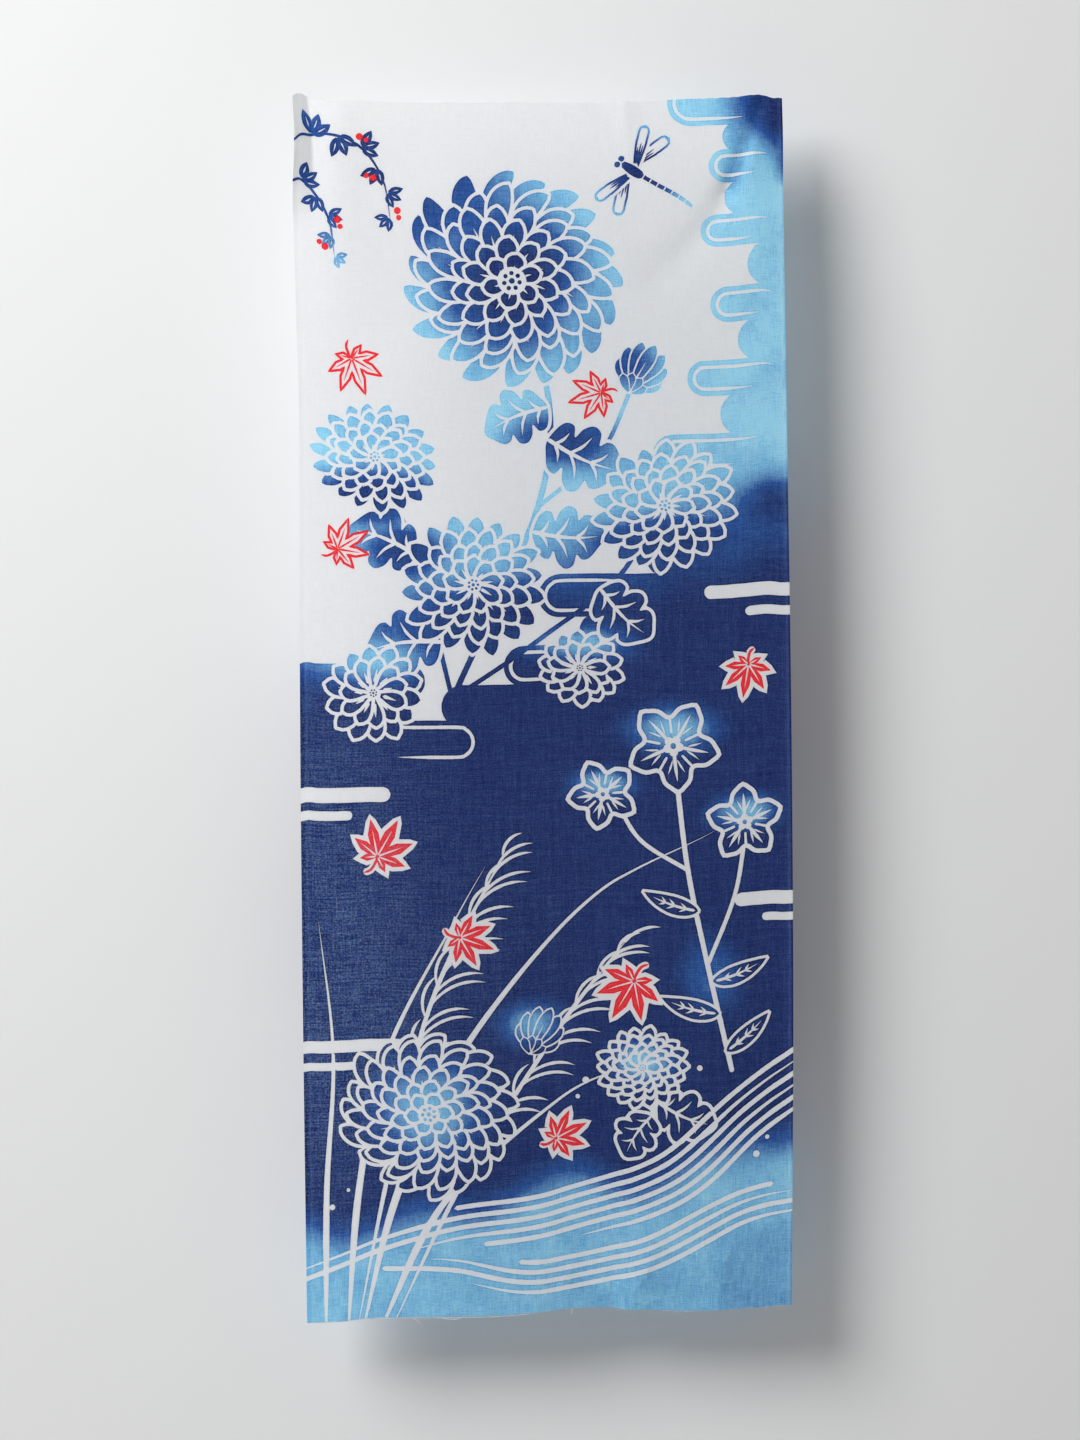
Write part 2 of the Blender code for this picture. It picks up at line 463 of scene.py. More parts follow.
def lobedLeaf(at, angle, size):
    side, lean = lobes["side"], lobes["lean"]
    rim = [(t, w + lean * math.sin(math.pi * t)) for t, w in (*side, *((t, -w) for t, w in side[-2:0:-1]))]
    layBordered(smoothPath(placed(rim, at, angle, size), closed=True), artwork["borderWidth"])
    width = min(artwork["fineLine"], size * 0.05)
    stroke("resist", placed(lobes["midrib"], at, angle, size), width * 1.15, 0, 0.6)
    for start, end, reach in lobes["veins"]:
        mid = lean * math.sin(math.pi * start)
        for out in (reach, -reach):
            bow = [(start, mid), ((start + end) / 2 + 0.02, mid + out * 0.45), (end, mid + out)]
            stroke("resist", placed(bow, at, angle, size), width * 0.9, 0, 0.55)


slim = {"wide": 0.30, "border": 2.1, "midrib": 2.2, "vein": 1.7, "veinsAt": (0.26, 0.46, 0.64)}


def slimLeaf(at, angle, size, bend):
    middle = smoothPath(bent(at, angle, size, bend))
    layBordered(ribbon(middle, size * slim["wide"], leafProfile(0.8, 0.01, 0.8)), slim["border"])
    layLine("resist", middle[1:int(len(middle) * 0.86)], slim["midrib"], 0, 0.6)
    for share in slim["veinsAt"]:
        foot, heading = placeOn(middle[:-1], share)
        reach = size * slim["wide"] * 0.53 * math.sin(math.pi * share ** 0.8)
        for way in (1, -1):
            stroke("resist", bent(foot, heading + way * 0.62, reach, -way * 0.2, 3), slim["vein"], 0, 0.6)


# A palmate leaf, half of it: lobe angle, length and half-width, and the notch after it: angle, reach
maple = (
    (0, 1.00, 0.135, 20, 0.36),
    (40, 0.90, 0.130, 60, 0.31),
    (80, 0.70, 0.115, 103, 0.22),
    (124, 0.42, 0.085, 150, 0.13),
)


def mapleLeaf(at, angle, size, outlined=False):
    corners = []
    middle = (0.0, 0.0)
    for turn, length, half, notchTurn, notchReach in maple:
        lobe = [(0.6 * length, -half), (length, 0), (0.6 * length, half)]
        corners += placed(lobe, middle, math.radians(turn), 1)[0 if turn else 1:]
        corners.append(outFrom(middle, math.radians(notchTurn), notchReach))
    corners += [(-0.02, 0.0)] + [(x, -y) for x, y in corners[:0:-1]]
    outline = evened(placed(corners, at, angle, size), 2.2)
    stem = placed([(0, 0), (-0.1, 0.03), (-0.35, 0.02), (-0.5, -0.10)], at, angle, size)
    if outlined:
        stroke("red", stem, 1.7, 0, 0.2)
        lay("red", grown(outline, 0.9))
        lay("resist", grown(outline, -0.9))
    else:
        stroke("resist", stem, 5.4)
        lay("resist", grown(outline, 3.2))
        stroke("red", stem, 2.0, 0, 0.2)
        lay("red", outline)
    for turn, length, *_ in maple:
        for way in ((1, -1) if turn else (1,)):
            out = way * math.radians(turn)
            ray = [outFrom(middle, out, reach) for reach in (0.04, length * 0.36, length * 0.72)]
            stroke("red" if outlined else "resist", placed(ray, at, angle, size), 1.25, 0, 0.6)


# A bellflower. Rim and side veins of one petal: turn from its middle, reach.
bell = {
    "rim": ((-0.50, 0.66), (-0.30, 0.86), (-0.12, 0.97), (0.0, 1.05), (0.12, 0.97), (0.30, 0.86),
            (0.50, 0.66)),
    "sideVein": ((0.16, 0.34), (0.24, 0.52), (0.30, 0.70)),
    "border": 3.3,
}


def bellflower(at, radius, turn):
    def ray(a, reach):
        return outFrom(at, a, radius * reach)

    petals = turns(5, turn)
    outline = smoothPath([ray(a + off, reach) for a in petals for off, reach in bell["rim"]], closed=True)
    layBordered(outline, bell["border"])
    for a in petals:
        stroke("resist", [ray(a, 0.22), ray(a + 0.01, 0.5), ray(a, 0.86)], artwork["fineLine"], 0, 0.5)
        for way in (1, -1):
            stroke("resist", [ray(a + way * off, reach) for off, reach in bell["sideVein"]], 1.5, 0.2, 0.5)
        stroke("resist", [ray(a + 0.628, reach) for reach in (0.30, 0.50, 0.68)], 2.0)
    for a in petals:
        spot("resist", ray(a, 0.15), radius * 0.105)
    spot("blue", at, radius * 0.07)


# A dragonfly about 1 long. Wings: root, turn, length, width, bend. Ribs: length, place across the wing.
flier = {
    "wings": ((0.26, 1.92, 0.62, 0.17, 0.10), (0.20, 1.22, 0.60, 0.155, 0.12)),
    "ribs": ((0.78, 0.0), (0.70, 0.28), (0.62, -0.28)),
    "body": ((0.40, 0), (0.26, 0), (0.12, 0.0), (-0.15, 0.012), (-0.45, 0.03), (-0.72, 0.02)),
    "joints": (0.05, -0.06, -0.17, -0.28, -0.39, -0.50, -0.60),
}


def wingProfile(t, total):
    tip = 1 if t < 0.82 else math.sqrt(max(0.0, 1 - ((t - 0.82) / 0.18) ** 2))
    return (0.36 + 0.64 * min(1, t / 0.55) ** 0.8) * tip


def bodyProfile(t, total):
    thick = 0.45 + 0.55 * math.sin(math.pi * min(1, t / 0.34)) ** 0.8 if t < 0.30 else 0.42
    return thick * (0.6 if t < 0.02 or t > 0.97 else 1)


def dragonfly(at, angle, size):
    for root, turn, length, wide, bend in flier["wings"]:
        for way in (1, -1):
            middle = bent((root, 0.03 * way), turn * way, length, bend * way)
            path = smoothPath(placed(middle, at, angle, size))
            outline = ribbon(path, wide * size, wingProfile)
            layBordered(outline, 2.2)
            lay("resist", grown(outline, -1.5))
            inner = path[2:-3]
            for share, side in flier["ribs"]:
                cut = inner[:max(4, int(len(inner) * share))]
                rib = shifted(cut, lambda i: side * wide * size * (0.3 + 0.5 * i / len(cut)))
                layLine("blue", rib, 1.2, 0.1, 0.3)
    body = smoothPath(placed(flier["body"], at, angle, size))
    layBordered(ribbon(body, 0.125 * size, bodyProfile), 1.6)
    for eye in placed([(0.435, 0.045), (0.435, -0.045)], at, angle, size):
        spot("resist", eye, 0.058 * size)
        spot("blue", eye, 0.040 * size)
    for share in flier["joints"]:
        stroke("resist", placed([(share, -0.05), (share, 0.07)], at, angle, size), 1.1)


def grassBlade(points, width):
    lay("resist", ribbon(smoothPath(points), width,
                         lambda t, total: min(1, t / 0.25) ** 0.6 * min(1, (1 - t) / 0.85) ** 0.8))


def hairProfile(t, total):
    return (0.6 + 0.4 * math.sin(math.pi * t)) * min(1, (1 - t) / 0.25) ** 0.6


def pampasPlume(points, count, length, droop):
    # fine strokes leave the upper stalk and droop to one side
    path = smoothPath(points, 1.5)
    stroke("resist", points, 3.4, 0.3, 0.2)
    for k in range(count):
        share = k / (count - 1)
        foot, heading = placeOn(path, 0.50 + 0.49 * share)
        fullness = 0.62 + 0.5 * math.sin(math.pi * (0.12 + 0.8 * share))
        reach = length * fullness * chance.uniform(0.88, 1.1)
        way, reach, bend = (1, reach, droop) if k % 3 else (-1, reach * 0.72, droop * 1.25)
        middle = bent(foot, heading + way * (0.62 - 0.45 * share) + bend * 0.30, reach, bend)
        lay("resist", ribbon(smoothPath(middle), 2.5, hairProfile))


def cloverSpray(points, leaves, size, berries):
    path = smoothPath(points, 1.5)
    stroke("blue", points, 1.9, 0, 0.5)
    for k in range(leaves):
        share = 0.16 + 0.80 * k / (leaves - 1)
        foot, heading = placeOn(path, share)
        scale, way = size * (1.0 - 0.42 * share), (1 if k % 2 else -1)
        for turn in (0.9, 0.25, 1.6):
            a = heading + way * turn
            middle = bent(outFrom(foot, a, 1.6), a, scale, 0.3 * way, 4)
            lay("blue", ribbon(smoothPath(middle), scale * 0.52, leafProfile(0.85, 0.02, 0.75)))
            layLine("resist", smoothPath(middle[1:-1]), 1.0, 0.2, 0.5)
    for share, turn in berries:
        foot, heading = placeOn(path, share)
        for reach, off, radius in ((6.5, 0.0, 2.6), (10.0, 0.5, 2.0)):
            spot("red", outFrom(foot, heading + turn + off, reach), radius)


def mistBand(dye, x0, x1, y0, y1):
    # a level band with half-round ends
    r, cy = (y1 - y0) / 2, (y0 + y1) / 2
    steps = max(5, round(math.pi * r / 2.0))
    corners = [outFrom((end, cy), start + math.pi * k / steps, r)
               for end, start in ((x1 - r, -math.pi / 2), (x0 + r, math.pi / 2)) for k in range(steps + 1)]
    lay(dye, [tuple(c + chance.uniform(-0.12, 0.12) for c in place) for place in evened(corners, 4)])


def mistLine(end, y0, y1, reach, way):
    # a white line inside a mist band, round its end
    r, cy = (y1 - y0) / 2 - 5, (y0 + y1) / 2
    cx = end + way * (y1 - y0) / 2
    points = [(cx + way * reach * share, cy - r) for share in (1, 0.5)]
    points += [(cx - way * math.sin(a) * r, cy - math.cos(a) * r) for a in turns(12)[:7]]
    points += [(cx + way * reach * share, cy + r) for share in (0.35, 0.7)]
    stroke("resist", points, 2.6, 0.18, 0.18)


def stream(points, spacing, starts, ends):
    # a bundle of side-by-side flowing lines, each with its own start and end
    path = smoothPath(points, 2.0)
    for k, (first, final) in enumerate(zip(starts, ends)):
        off = (k - (len(starts) - 1) / 2) * spacing
        flow = shifted(path, lambda i: off)[int(len(path) * first):int(len(path) * final)]
        taper = 0 if k % 2 else 0.25
        layLine("resist", flow, artwork["waterLine"], taper, taper)


def scatter(motif, rows, **options):
    # one motif at several places: place, heading in degrees, sizes
    for at, heading, *sizes in rows:
        motif(at, math.radians(heading), *sizes, **options)


def dyedGround():
    left, right = -artwork["beyond"], cloth["width"] + artwork["beyond"]
    for x0, x1, y0, y1 in (
        (276, right, -14, 20), (316, right, 18, 40), (306, right, 38, 62), (318, right, 60, 88),
        (300, right, 86, 110), (334, right, 108, 142), (306, right, 140, 166), (326, right, 164, 196),
        (288, right, 194, 220), (312, right, 218, 250), (262, right, 248, 276), (290, right, 274, 300),
        (232, right, 298, 328), (256, right, 326, 352), (176, right, 350, 382), (206, right, 380, 404),
        (150, right, 402, 432), (left, 92, 414, 440), (left, 56, 438, 458), (left, 132, 456, 488),
        (104, right, 430, 462), (92, right, 458, 492),
    ):
        mistBand("blue", x0, x1, y0, y1)
    low = cloth["length"] + artwork["beyond"]
    lay("blue", evened([(left, 486), (right, 486), (right, low), (left, low)], 4))
    for x0, x1, y0, y1 in (
        (left, 66, 505, 516), (left, 38, 522, 529), (298, right, 360, 370), (328, right, 377, 384),
        (left, 74, 690, 699), (left, 44, 706, 712), (318, right, 588, 598), (338, right, 604, 610),
    ):
        mistBand("resist", x0, x1, y0, y1)
    for end, y0, y1, reach, way in (
        (276, -14, 20, 56, 1), (306, 38, 62, 32, 1), (300, 86, 110, 38, 1), (306, 140, 166, 34, 1),
        (288, 194, 220, 52, 1), (262, 248, 276, 66, 1), (176, 350, 382, 46, 1), (150, 402, 432, 40, 1),
        (92, 414, 440, 50, -1), (132, 456, 488, 64, -1),
    ):
        mistLine(end, y0, y1, reach, way)


def flowersOnWhite():
    for points, width in (([(170, 150), (186, 232), (176, 300), (140, 380), (112, 440)], 4.2),
                          ([(58, 262), (84, 330), (100, 390), (112, 440)], 3.4),
                          ([(268, 300), (232, 356), (176, 398), (112, 440)], 3.4),
                          ([(176, 300), (222, 262), (246, 214)], 3.0)):
        stroke("blue", points, width)
    scatter(lobedLeaf, (((184, 250), 24, 60), ((184, 226), 158, 50), ((172, 318), 4, 54),
                        ((86, 334), 200, 54), ((104, 398), 172, 56), ((222, 362), 44, 50)))
    scatter(chrysanthemumBud, [((246, 212), -58, 34)])
    chrysanthemum("wild", (160, 132), 88, 0.2, 0.94, 0.5)
    chrysanthemum("round", (56, 262), 47, 0.1, 0.84, 0.3)
    chrysanthemum("round", (270, 300), 52, 0.5, 0.9, -0.4)
    chrysanthemum("round", (128, 356), 52, 0.9)
    chrysanthemum("small", (206, 420), 31, 0.2, 0.85, 0.2)
    chrysanthemum("small", (54, 436), 35, 0.6)
    scatter(dragonfly, [((260, 58), -146, 56)])
    scatter(mapleLeaf, (((40, 190), 70, 28), ((224, 216), 164, 25), ((28, 330), -30, 26)), outlined=True)
    cloverSpray([(-6, 34), (22, 26), (48, 34), (66, 58), (72, 90)], 6, 17,
                ((0.42, -1.2), (0.66, 1.2), (0.9, -1.2)))
    cloverSpray([(-6, 60), (12, 66), (26, 88), (30, 118)], 5, 14, ((0.6, -1.2), (0.85, 1.2)))


def grassesOnIndigo():
    grassBlade([(40, 910), (70, 800), (124, 690), (214, 590), (306, 540)], 6.6)
    grassBlade([(30, 910), (40, 800), (62, 700), (112, 604), (136, 562)], 6.0)
    grassBlade([(52, 910), (104, 810), (190, 738), (252, 712)], 6.0)
    grassBlade([(14, 910), (16, 800), (22, 700), (12, 600)], 5.4)
    pampasPlume([(36, 910), (64, 780), (96, 660), (150, 552)], 22, 44, 1.2)
    pampasPlume([(60, 910), (120, 790), (186, 690), (240, 620)], 20, 40, 1.1)
    stroke("resist", [(316, 720), (298, 640), (284, 570), (276, 500)], 3.8)
    stroke("resist", [(298, 640), (318, 590), (326, 548)], 3.2)
    stroke("resist", [(284, 570), (250, 548), (232, 520)], 3.2)
    scatter(slimLeaf, (((291, 600), -160, 42, 0.4), ((302, 652), -20, 42, -0.4),
                       ((306, 676), 196, 44, 0.4), ((312, 704), -40, 40, -0.3)))
    bellflower((274, 478), 31, 0.2)
    bellflower((326, 536), 25, 0.9)
    bellflower((222, 514), 23, 0.5)
    scatter(mapleLeaf, (((56, 556), -60, 31), ((116, 616), 20, 27), ((244, 652), 120, 33),
                        ((186, 768), -24, 25), ((330, 420), 100, 25)))
    chrysanthemum("wild", (92, 746), 68, 0.4, 0.92, 0.3)
    scatter(chrysanthemumBud, [((168, 700), -62, 30)])
    stroke("resist", [(252, 730), (259, 756), (257, 778)], 3.8)
    scatter(lobedLeaf, (((262, 742), 22, 44), ((256, 752), 122, 36)))
    chrysanthemum("round", (250, 716), 33, 0.3, 0.86, -0.2)


def flowingWater():
    stream([(380, 716), (326, 752), (268, 800), (190, 826), (104, 836), (-14, 872)], 7.4,
           (0, 0, 0, 0, 0, 0), (0.5, 0.66, 0.8, 1, 1, 0.7))
    stream([(380, 812), (320, 822), (250, 856), (176, 870), (110, 858), (56, 856)], 7.4,
           (0, 0, 0.05, 0.1), (0.8, 1, 0.9, 0.7))
    for x, y, radius in (
        (208, 726, 2.6), (202, 738, 1.8), (292, 716, 2.2), (334, 782, 2.6),
        (342, 770, 1.8), (20, 812, 2.2), (32, 800, 1.5),
    ):
        spot("resist", (x, y), radius)


# Where the brushed dye turns lighter or darker: across, down, reach across, reach down, depth
softSpots = (
    (352, 160, 74, 110, 0.03), (352, -2, 34, 34, 0.66), (363, 11, 19, 26, 0.97), (364, 44, 8, 18, 0.55),
    # the next two spots darken the dye along the pull from the right hold: partly a dye streak, partly
    # painted shade of that fold
    (329, 34, 7, 15, 0.23), (323, 54, 8, 15, 0.22), (356, 302, 30, 18, 0.85), (160, 132, 52, 52, 0.98),
    (100, 80, 36, 36, 0.25), (226, 176, 36, 36, 0.22), (60, 50, 90, 60, 0.80), (56, 236, 46, 24, 0.10),
    (56, 292, 50, 22, 0.85), (268, 270, 60, 22, 0.10), (270, 326, 50, 16, 0.80), (128, 326, 60, 24, 0.08),
    (150, 384, 60, 24, 0.90), (54, 412, 50, 18, 0.10), (206, 402, 40, 14, 0.12), (274, 466, 34, 18, 0.08),
    (326, 528, 26, 14, 0.12), (222, 506, 24, 12, 0.12), (92, 742, 42, 38, 0.10), (168, 682, 24, 16, 0.20),
    (300, 648, 22, 30, 0.45), (250, 712, 26, 18, 0.10), (256, 53, 28, 26, 0.92), (196, 250, 40, 20, 0.75),
    (78, 332, 30, 18, 0.80), (246, 196, 20, 16, 0.55), (370, 880, 90, 40, 0.21), (250, 890, 60, 16, 0.13),
)
shading = {
    "indigoStart": 290.0,     # on the cloth's middle line, the dye turns from sky blue to indigo here
    "indigoFull": 420.0,
    "slant": 0.28,
    "skyEdge": 812.0,         # and back to sky blue here, in waves of this height, pitch and start
    "waves": ((14.0, 0.021, 0.6), (7.0, 0.057, 0.0)),
    "rightRise": 62.0,        # higher by this much at the right selvage
    "riseStart": 210.0,
    "skyBlend": 24.0,
    "hemDepth": 0.10,
    "spotEdge": 1.4,          # how sharply a soft spot ends
}


def dyeDepth(across, down):
    # 0 is sky blue, 1 is full indigo
    slanted = down + shading["slant"] * (across - 180)
    depth = smoothStep(shading["indigoStart"], shading["indigoFull"], slanted)
    rise = smoothStep(shading["riseStart"], cloth["width"], across)
    edge = shading["skyEdge"] - shading["rightRise"] * rise
    for height, pitch, start in shading["waves"]:
        edge = edge + height * np.sin(across * pitch + start)
    hem = smoothStep(edge - shading["skyBlend"], edge + shading["skyBlend"], down)
    depth = depth + (shading["hemDepth"] - depth) * hem
    for x, y, reachX, reachY, value in softSpots:
        off = ((across - x) / reachX) ** 2 + ((down - y) / reachY) ** 2
        depth = depth + (value - depth) * np.exp(-off ** shading["spotEdge"])
    return np.clip(depth, 0.0, 1.0)


def isInside(places, outline):
    # which places lie inside the outline, by how often it winds round them
    corners = np.array(outline)
    x1, y1 = corners.T
    x2, y2 = np.roll(x1, -1), np.roll(y1, -1)
    inside = np.zeros(len(places), bool)
    for start in range(0, len(places), 4000):
        x, y = places[start:start + 4000, 0, None], places[start:start + 4000, 1, None]
        left = (x2 - x1) * (y - y1) - (x - x1) * (y2 - y1)
        up = ((y1 <= y) & (y2 > y) & (left > 0)).sum(1)
        downwards = ((y1 > y) & (y2 <= y) & (left < 0)).sum(1)
        inside[start:start + 4000] = up != downwards
    return inside


def dyeAt(places):
    found = np.zeros(len(places), int)
    for dye, outline in stencils:
        low, high = np.min(outline, axis=0), np.max(outline, axis=0)
        near = np.nonzero(((places > low) & (places < high)).all(axis=1))[0]
        if len(near):
            found[near[isInside(places[near], outline)]] = dyes[dye]
    return found


def visibleOutlines():
    # the stretches of outline with one dye on one side and another dye on the other
    starts = np.concatenate([np.array(outline) for _, outline in stencils])
    ends = np.concatenate([np.roll(np.array(outline), -1, axis=0) for _, outline in stencils])
    shortest, beside = 0.05, 0.12  # millimetres, the second to where the dye on each side is looked up
    run = ends - starts
    length = np.hypot(*run.T)
    kept = length > shortest
    starts, ends, run, length = starts[kept], ends[kept], run[kept], length[kept]
    side = np.stack([-run[:, 1], run[:, 0]], axis=1) / length[:, None] * beside
    middle = (starts + ends) / 2
    both = dyeAt(np.concatenate([middle + side, middle - side]))
    differs = both[:len(middle)] != both[len(middle):]
    return starts[differs], ends[differs]


def rectangleEdge():
    # the cut cloth's own outline, its two cut ends a little ragged
    width, length, ragged = cloth["width"], cloth["length"], cloth["endRagged"]
    outline = evened([(0, 0), (width, 0), (width, length), (0, length)], 3.0)
    return [(x, y + (chance.uniform(-ragged, ragged) * (0 < x < width) if y in (0, length) else 0))
            for x, y in outline]


def creasePoints():
    # extra places along the sharp creases and bent margins, so that their bends are smooth
    lines = [crease[:4] for crease in creases]
    for side, widths, length, _, softness in turnedMargins:
        start, end = (width if side == "left" else cloth["width"] - width for width in widths)
        lines.append(((start, 0), (end, length), 0, (softness * 1.6,)))
    found = []
    for start, end, bow, widths in lines:
        width, length = max(1.1, min(widths)), math.dist(start, end)
        step = 1.5 * width
        runX, runY = (end[0] - start[0]) / length, (end[1] - start[1]) / length
        for i in range(round(length / step) + 1):
            t = i * step / length
            for k in (-2.0, -1.2, -0.5, 0.5, 1.2, 2.0):
                off = k * width + bow * 4 * t * (1 - t)
                found.append((start[0] + runX * t * length + runY * off,
                              start[1] + runY * t * length - runX * off))
    return found


def gridPoints():
    columns, rows = (round(cloth[side] / cloth["gridStep"]) for side in ("width", "length"))
    return [(cloth["width"] * (column + 0.25 * (row % 2 * 2 - 1)) / columns, cloth["length"] * row / rows)
            for row in range(1, rows) for column in range(1, columns)]


def flatTriangles():
    starts, ends = visibleOutlines()
    print("outlines", len(stencils), "visible stretches", len(starts))
    rim = rectangleEdge()
    points = [tuple(p) for p in rim]
    edges = [(i, (i + 1) % len(rim)) for i in range(len(rim))]
    known = {}

    def number(place):
        key = (round(place[0], 3), round(place[1], 3))
        if key not in known:
            known[key] = len(points)
            points.append(key)
        return known[key]

    for a, b in zip(starts, ends):
        first, second = number(a), number(b)
        if first != second:
            edges.append((first, second))
    extra = (creasePoints(), cloth["creaseClearance"]), (gridPoints(), cloth["clearance"])
    for places, clearance in extra:
        tree = KDTree(len(points))
        for i, (x, y) in enumerate(points):
            tree.insert((x, y, 0), i)
        tree.balance()
        points += [place for place in places if tree.find((*place, 0))[2] > clearance
                   and 1 < place[0] < cloth["width"] - 1 and 1 < place[1] < cloth["length"] - 1]
    flat, sides, faces, _, sources, _ = delaunay_2d_cdt(points, edges, [], 0, 1e-4, True)
    isDyeEdge = [bool(source) and max(source) >= len(rim) for source in sources]
    flat, faces = np.array([tuple(p) for p in flat]), np.array(faces)
    dyeEdges = np.sort(np.array(sides)[isDyeEdge], axis=1)
    faces = faces[isInside(flat[faces].mean(axis=1), rim)]
    used = np.unique(faces)
    order = np.full(len(flat), -1)
    order[used] = np.arange(len(used))
    flat, faces, dyeEdges = flat[used], order[faces], order[dyeEdges]
    a, b, c = flat[faces].transpose(1, 0, 2)
    area = (b[:, 0] - a[:, 0]) * (c[:, 1] - a[:, 1]) - (c[:, 0] - a[:, 0]) * (b[:, 1] - a[:, 1])
    # down runs against +Z, so the front is clockwise on the flat
    faces[area > 0] = faces[area > 0][:, ::-1]
    print("triangles on one side", len(faces), "vertices", len(flat))
    return flat, faces, dyeEdges


def edgeReach(flat, faces, dyeEdges):
    # for each corner, its distance in millimetres from each of its triangle's sides that is a dye's edge
    known = np.unique(dyeEdges[:, 0] * len(flat) + dyeEdges[:, 1])
    reach = np.full((len(faces), 3, 3), 9.0)
    for k in range(3):
        start, end = faces[:, (k + 1) % 3], faces[:, (k + 2) % 3]
        isEdge = np.isin(np.minimum(start, end) * len(flat) + np.maximum(start, end), known)
        run, off = flat[end] - flat[start], flat[faces[:, k]] - flat[start]
        height = np.abs(run[:, 0] * off[:, 1] - run[:, 1] * off[:, 0]) / np.maximum(np.hypot(*run.T), 1e-6)
        reach[isEdge, :, k] = 0.0
        reach[isEdge, k, k] = height[isEdge]
    return reach.reshape(-1, 3)


def paintedBacklight(across, down):
    # painted light: how far the lit wall shows through the open weave, most of all down the left side
    patches = sum(amount * np.exp(-((across - x) / reachX) ** 2 - ((down - y) / reachY) ** 2)
                  for x, y, reachX, reachY, amount in paintedBacklightPatches)
    return np.clip(patches + cloth["evenBacklight"], 0, 1)


# Crumpling of the weave: over the body, more at the loose end, and more again over its right half
crumple = {"body": 0.42, "looseEnd": 0.50, "rightHalf": 0.28, "across": (120, 260), "down": (700, 850)}


def crumpling(across, down):
    more = crumple["looseEnd"] + crumple["rightHalf"] * smoothStep(*crumple["across"], across)
    return crumple["body"] + more * smoothStep(*crumple["down"], down)


def keepOn(mesh, name, values, domain="POINT", kind="FLOAT"):
    attribute = mesh.attributes.new(name, kind, domain)
    attribute.data.foreach_set("value" if kind == "FLOAT" else "vector", values)


def buildCloth():
    dyedGround()
    flowersOnWhite()
    grassesOnIndigo()
    flowingWater()
    flat, faces, dyeEdges = flatTriangles()
    across, down = flat.T
    mesh = bpy.data.meshes.new("tenuguiCotton")
    mesh.from_pydata(hang(across, down).tolist(), [], faces.tolist())
    keepOn(mesh, "dye", dyeAt(flat[faces].mean(axis=1)).astype(float), "FACE")
    keepOn(mesh, "dyeDepth", dyeDepth(across, down))
    keepOn(mesh, "backlitShare", paintedBacklight(across, down))
    keepOn(mesh, "crumple", crumpling(across, down))
    keepOn(mesh, "edgeReach", edgeReach(flat, faces, dyeEdges).ravel(), "CORNER", "FLOAT_VECTOR")
    corners = np.empty(len(mesh.loops), int)
    mesh.loops.foreach_get("vertex_index", corners)
    place = np.stack([across, cloth["length"] - down], axis=1)[corners]
    bake = "OFBake", cloth["bakeScale"], cloth["bakeMargin"]
    for name, scale, margin in (("clothPlace", mm, 0), bake):
        mesh.uv_layers.new(name=name).data.foreach_set("uv", ((place + margin) * scale).ravel())
    mesh.shade_smooth()
    return mesh


def giveThickness(mesh):
    # the back copies the front, one thickness behind it, and has its own half of the bake map
    sheet = bmesh.new()
    sheet.from_mesh(mesh)
    bmesh.ops.solidify(sheet, geom=sheet.faces[:], thickness=-cloth["thickness"] * mm)
    sheet.normal_update()
    bake = sheet.loops.layers.uv["OFBake"]
    for face in sheet.faces:
        if face.normal.y > 0.3:
            for loop in face.loops:
                loop[bake].uv.x += 0.5
    sheet.to_mesh(mesh)
    sheet.free()
    mesh.set_sharp_from_angle(angle=math.radians(50))
    return mesh


# Threads that work loose at the two cut ends
frayed = {
    "seed": 7,
    "spacing": 1.0,           # millimetres between short cut ends
    "radius": 0.15,
    "shortest": 0.3,
    "longest": 1.5,
    "tones": ((0.93, 0.95, 0.97), (0.62, 0.80, 0.90)),
    "loose": (                # across, end, length, heading in degrees from straight out, curl
        (74, "bottom", 13, 62, 30), (96, "bottom", 16, 80, -24), (118, "bottom", 9, -70, 20),
        (196, "bottom", 5, 14, 60), (233, "bottom", 3.5, -40, 50), (274, "bottom", 4, 50, -40),
        (285, "bottom", 4.5, -64, 30), (341, "bottom", 3, 20, 40),
        (218, "top", 3, 50, 40), (251, "top", 3.5, -58, 30), (352, "top", 3, 30, -50),
        (9, "top", 2.5, -30, 40),
    ),
    "drawn": (                # a crosswise thread drawn part-way out of an end: from, to, how far out
        ("bottom", 4, 34, 0.7), ("bottom", 38, 190, 1.1), ("bottom", 262, 300, 0.6),
        ("top", 210, 262, 0.4),
    ),
}


def frayedPaths():
    # places on the flat cloth that each loose thread follows, past the end it hangs from
    pull = random.Random(frayed["seed"])
    length, width = cloth["length"], cloth["width"]
    paths = []
    for end, edge, out in (("top", 0.0, -1), ("bottom", length, 1)):
        for k in range(1, round(width / frayed["spacing"])):
            across = k * frayed["spacing"] + pull.uniform(-0.4, 0.4)
            reach, lean = pull.uniform(frayed["shortest"], frayed["longest"]), pull.uniform(-0.5, 0.5)
            paths.append([(across + lean * t * t * reach, edge + out * (t * reach - 0.5))
                          for t in (0, 0.5, 1)])
        for across, where, reach, heading, curl in frayed["loose"]:
            if where == end:
                foot, turn = (across, edge - out * 0.4), math.radians(90 - heading)
                bend = bent(foot, turn, reach, math.radians(curl), 8)
                paths.append([(x, edge + out * (y - edge)) for x, y in bend])
        for where, start, final, off in frayed["drawn"]:
            if where == end:
                steps = round((final - start) / 2.5)
                path = []
                for k in range(steps + 1):
                    rise = off * math.sin(math.pi * k / steps) ** 0.4 + pull.uniform(-0.12, 0.12)
                    path.append((start + (final - start) * k / steps, edge + out * rise))
                paths.append(path)
    return paths


